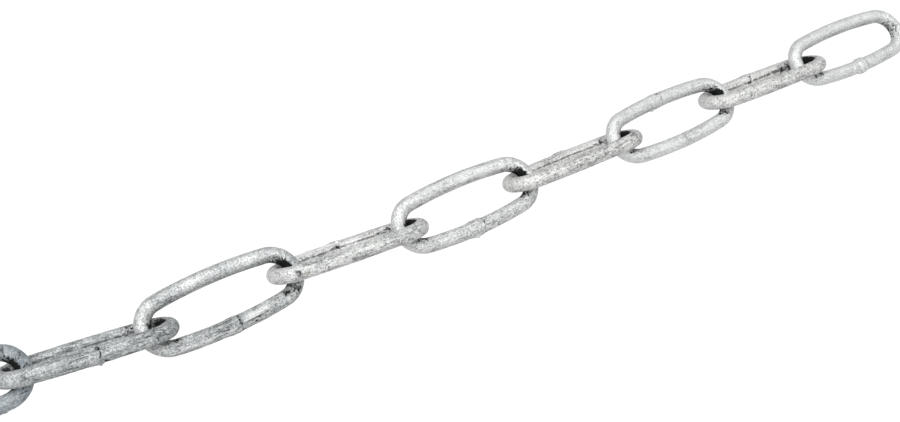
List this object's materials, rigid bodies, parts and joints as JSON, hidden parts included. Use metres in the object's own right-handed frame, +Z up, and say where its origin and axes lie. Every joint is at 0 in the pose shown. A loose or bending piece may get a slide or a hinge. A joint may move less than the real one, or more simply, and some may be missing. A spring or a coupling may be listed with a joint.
{
  "type": "steel chain",
  "caption": "Length of hot-dip galvanised long-link steel chain, laid out straight, with welded oval links hooked one into the next.",
  "frame": {"origin": "on the floor, under the middle of the chain's length and width", "axes": "+X along the chain, from link_01 to link_31; +Z up"},
  "size_m": [0.9616, 0.0224, 0.011],
  "materials": {
    "galvanised_steel": "hot-dip galvanised, matt mottled zinc"
  },
  "bodies": {
    "link_01": {"link_01": "galvanised_steel"},
    "link_02": {"link_02": "galvanised_steel"},
    "link_03": {"link_03": "galvanised_steel"},
    "link_04": {"link_04": "galvanised_steel"},
    "link_05": {"link_05": "galvanised_steel"},
    "link_06": {"link_06": "galvanised_steel"},
    "link_07": {"link_07": "galvanised_steel"},
    "link_08": {"link_08": "galvanised_steel"},
    "link_09": {"link_09": "galvanised_steel"},
    "link_10": {"link_10": "galvanised_steel"},
    "link_11": {"link_11": "galvanised_steel"},
    "link_12": {"link_12": "galvanised_steel"},
    "link_13": {"link_13": "galvanised_steel"},
    "link_14": {"link_14": "galvanised_steel"},
    "link_15": {"link_15": "galvanised_steel"},
    "link_16": {"link_16": "galvanised_steel"},
    "link_17": {"link_17": "galvanised_steel"},
    "link_18": {"link_18": "galvanised_steel"},
    "link_19": {"link_19": "galvanised_steel"},
    "link_20": {"link_20": "galvanised_steel"},
    "link_21": {"link_21": "galvanised_steel"},
    "link_22": {"link_22": "galvanised_steel"},
    "link_23": {"link_23": "galvanised_steel"},
    "link_24": {"link_24": "galvanised_steel"},
    "link_25": {"link_25": "galvanised_steel"},
    "link_26": {"link_26": "galvanised_steel"},
    "link_27": {"link_27": "galvanised_steel"},
    "link_28": {"link_28": "galvanised_steel"},
    "link_29": {"link_29": "galvanised_steel"},
    "link_30": {"link_30": "galvanised_steel"},
    "link_31": {"link_31": "galvanised_steel"}
  },
  "joints": [
    {"name": "hinge_01_02", "type": "hinge", "parent": "link_01", "child": "link_02", "pos_m": [-0.44258, 0.00412, 0.00524], "axis": [-0.0182, -0.5222, -0.8526], "range_deg": [-120, 120]},
    {"name": "hinge_02_03", "type": "hinge", "parent": "link_02", "child": "link_03", "pos_m": [-0.41169, 0.00325, 0.00524], "axis": [-0.0182, 0.5222, -0.8526], "range_deg": [-120, 120]},
    {"name": "hinge_03_04", "type": "hinge", "parent": "link_03", "child": "link_04", "pos_m": [-0.38084, 0.00412, 0.00496], "axis": [0.0182, 0.5222, 0.8526], "range_deg": [-120, 120]},
    {"name": "hinge_04_05", "type": "hinge", "parent": "link_04", "child": "link_05", "pos_m": [-0.35044, 0.00325, 0.00524], "axis": [0.0182, -0.5222, 0.8526], "range_deg": [-120, 120]},
    {"name": "hinge_05_06", "type": "hinge", "parent": "link_05", "child": "link_06", "pos_m": [-0.31955, 0.00412, 0.00524], "axis": [-0.0182, -0.5222, -0.8526], "range_deg": [-120, 120]},
    {"name": "hinge_06_07", "type": "hinge", "parent": "link_06", "child": "link_07", "pos_m": [-0.28865, 0.00325, 0.00524], "axis": [-0.0182, 0.5222, -0.8526], "range_deg": [-120, 120]},
    {"name": "hinge_07_08", "type": "hinge", "parent": "link_07", "child": "link_08", "pos_m": [-0.25776, 0.00412, 0.00524], "axis": [0.0182, 0.5222, 0.8526], "range_deg": [-120, 120]},
    {"name": "hinge_08_09", "type": "hinge", "parent": "link_08", "child": "link_09", "pos_m": [-0.22691, 0.00325, 0.00496], "axis": [0.0182, -0.5222, 0.8526], "range_deg": [-120, 120]},
    {"name": "hinge_09_10", "type": "hinge", "parent": "link_09", "child": "link_10", "pos_m": [-0.19651, 0.00412, 0.00524], "axis": [-0.0182, -0.5222, -0.8526], "range_deg": [-120, 120]},
    {"name": "hinge_10_11", "type": "hinge", "parent": "link_10", "child": "link_11", "pos_m": [-0.16562, 0.00325, 0.00524], "axis": [-0.0182, 0.5222, -0.8526], "range_deg": [-120, 120]},
    {"name": "hinge_11_12", "type": "hinge", "parent": "link_11", "child": "link_12", "pos_m": [-0.13473, 0.00412, 0.00524], "axis": [0.0182, 0.5222, 0.8526], "range_deg": [-120, 120]},
    {"name": "hinge_12_13", "type": "hinge", "parent": "link_12", "child": "link_13", "pos_m": [-0.10383, 0.00325, 0.00524], "axis": [0.0182, -0.5222, 0.8526], "range_deg": [-120, 120]},
    {"name": "hinge_13_14", "type": "hinge", "parent": "link_13", "child": "link_14", "pos_m": [-0.07298, 0.00412, 0.00496], "axis": [-0.0182, -0.5222, -0.8526], "range_deg": [-120, 120]},
    {"name": "hinge_14_15", "type": "hinge", "parent": "link_14", "child": "link_15", "pos_m": [-0.04259, 0.00325, 0.00524], "axis": [-0.0182, 0.5222, -0.8526], "range_deg": [-120, 120]},
    {"name": "hinge_15_16", "type": "hinge", "parent": "link_15", "child": "link_16", "pos_m": [-0.01169, 0.00412, 0.00524], "axis": [0.0182, 0.5222, 0.8526], "range_deg": [-120, 120]},
    {"name": "hinge_16_17", "type": "hinge", "parent": "link_16", "child": "link_17", "pos_m": [0.0192, 0.00325, 0.00524], "axis": [0.0182, -0.5222, 0.8526], "range_deg": [-120, 120]},
    {"name": "hinge_17_18", "type": "hinge", "parent": "link_17", "child": "link_18", "pos_m": [0.05009, 0.00412, 0.00524], "axis": [-0.0182, -0.5222, -0.8526], "range_deg": [-120, 120]},
    {"name": "hinge_18_19", "type": "hinge", "parent": "link_18", "child": "link_19", "pos_m": [0.08094, 0.00325, 0.00496], "axis": [-0.0182, 0.5222, -0.8526], "range_deg": [-120, 120]},
    {"name": "hinge_19_20", "type": "hinge", "parent": "link_19", "child": "link_20", "pos_m": [0.11134, 0.00412, 0.00524], "axis": [0.0182, 0.5222, 0.8526], "range_deg": [-120, 120]},
    {"name": "hinge_20_21", "type": "hinge", "parent": "link_20", "child": "link_21", "pos_m": [0.14223, 0.00325, 0.00524], "axis": [0.0182, -0.5222, 0.8526], "range_deg": [-120, 120]},
    {"name": "hinge_21_22", "type": "hinge", "parent": "link_21", "child": "link_22", "pos_m": [0.17313, 0.00412, 0.00524], "axis": [-0.0182, -0.5222, -0.8526], "range_deg": [-120, 120]},
    {"name": "hinge_22_23", "type": "hinge", "parent": "link_22", "child": "link_23", "pos_m": [0.20395, 0.00277, 0.00524], "axis": [0.0637, 0.5186, -0.8526], "range_deg": [-120, 120]},
    {"name": "hinge_23_24", "type": "hinge", "parent": "link_23", "child": "link_24", "pos_m": [0.23436, -0.00096, 0.00496], "axis": [0.0637, 0.5186, 0.8526], "range_deg": [-120, 120]},
    {"name": "hinge_24_25", "type": "hinge", "parent": "link_24", "child": "link_25", "pos_m": [0.26406, -0.00416, 0.00547], "axis": [0.0293, -0.5584, 0.829], "range_deg": [-120, 120]},
    {"name": "hinge_25_26", "type": "hinge", "parent": "link_25", "child": "link_26", "pos_m": [0.29521, -0.00289, 0.00533], "axis": [-0.0328, -0.5363, -0.8434], "range_deg": [-120, 120]},
    {"name": "hinge_26_27", "type": "hinge", "parent": "link_26", "child": "link_27", "pos_m": [0.32599, -0.00448, 0.00556], "axis": [-0.02, 0.5732, -0.8192], "range_deg": [-120, 120]},
    {"name": "hinge_27_28", "type": "hinge", "parent": "link_27", "child": "link_28", "pos_m": [0.35704, -0.00348, 0.00529], "axis": [-0.0046, 0.5299, 0.848], "range_deg": [-120, 120]},
    {"name": "hinge_28_29", "type": "hinge", "parent": "link_28", "child": "link_29", "pos_m": [0.38788, -0.0031, 0.005], "axis": [0.0231, -0.5294, 0.848], "range_deg": [-120, 120]},
    {"name": "hinge_29_30", "type": "hinge", "parent": "link_29", "child": "link_30", "pos_m": [0.41871, -0.00192, 0.00492], "axis": [-0.0041, -0.4695, -0.8829], "range_deg": [-120, 120]},
    {"name": "hinge_30_31", "type": "hinge", "parent": "link_30", "child": "link_31", "pos_m": [0.44868, -0.00213, 0.00533], "axis": [-0.0047, 0.5373, -0.8434], "range_deg": [-120, 120]}
  ]
}
